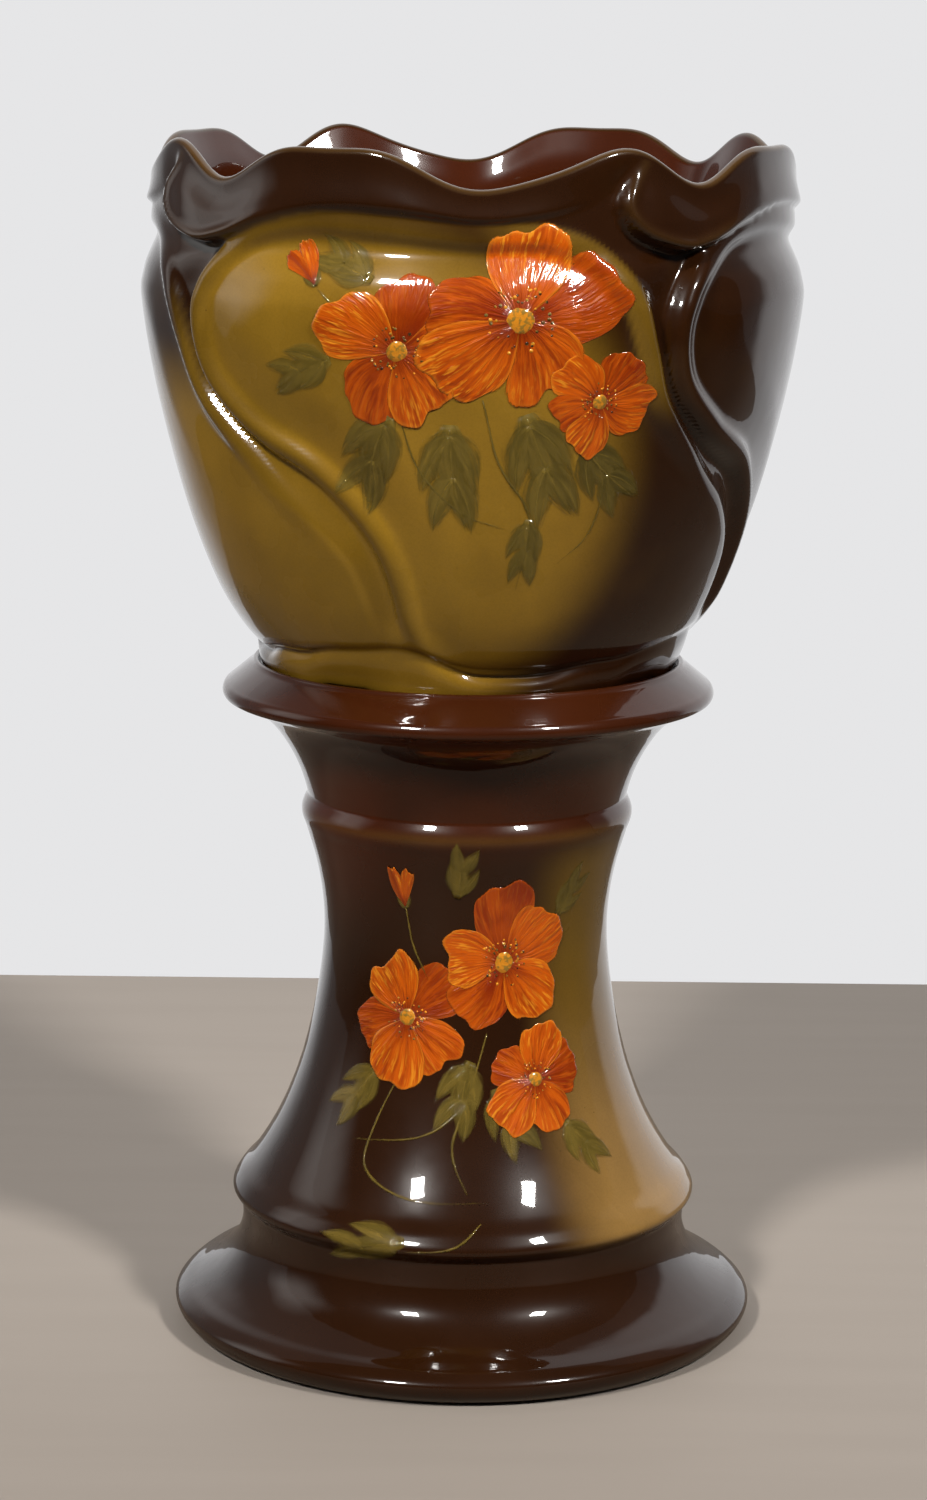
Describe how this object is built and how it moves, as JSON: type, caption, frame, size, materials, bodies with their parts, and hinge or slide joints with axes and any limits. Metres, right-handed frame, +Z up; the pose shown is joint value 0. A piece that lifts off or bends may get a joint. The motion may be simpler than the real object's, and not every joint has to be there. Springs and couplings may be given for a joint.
{
  "type": "jardiniere on pedestal",
  "caption": "Glazed jardiniere with a wavy rim and moulded scroll relief, standing loose in the seat of a hollow flared pedestal.",
  "frame": {"origin": "centre of the pedestal's underside, on the floor and on the axis of both pieces", "axes": "+Z up along the axis, -Y towards the face shown to the room, +X to the right of someone who looks at that face"},
  "size_m": [0.394, 0.394, 0.7239],
  "materials": {
    "pot_glaze": "very glossy brown, olive and gold glaze over slip decoration",
    "pedestal_glaze": "very glossy dark brown glaze shading to gold on one side"
  },
  "bodies": {
    "pedestal": {"pedestal": "pedestal_glaze"},
    "jardiniere": {"jardiniere": "pot_glaze"}
  },
  "joints": [
    {"name": "jardiniere_lift", "type": "slide", "parent": "pedestal", "child": "jardiniere", "axis": [0, 0, 1], "range_m": [0, 0.35]}
  ]
}
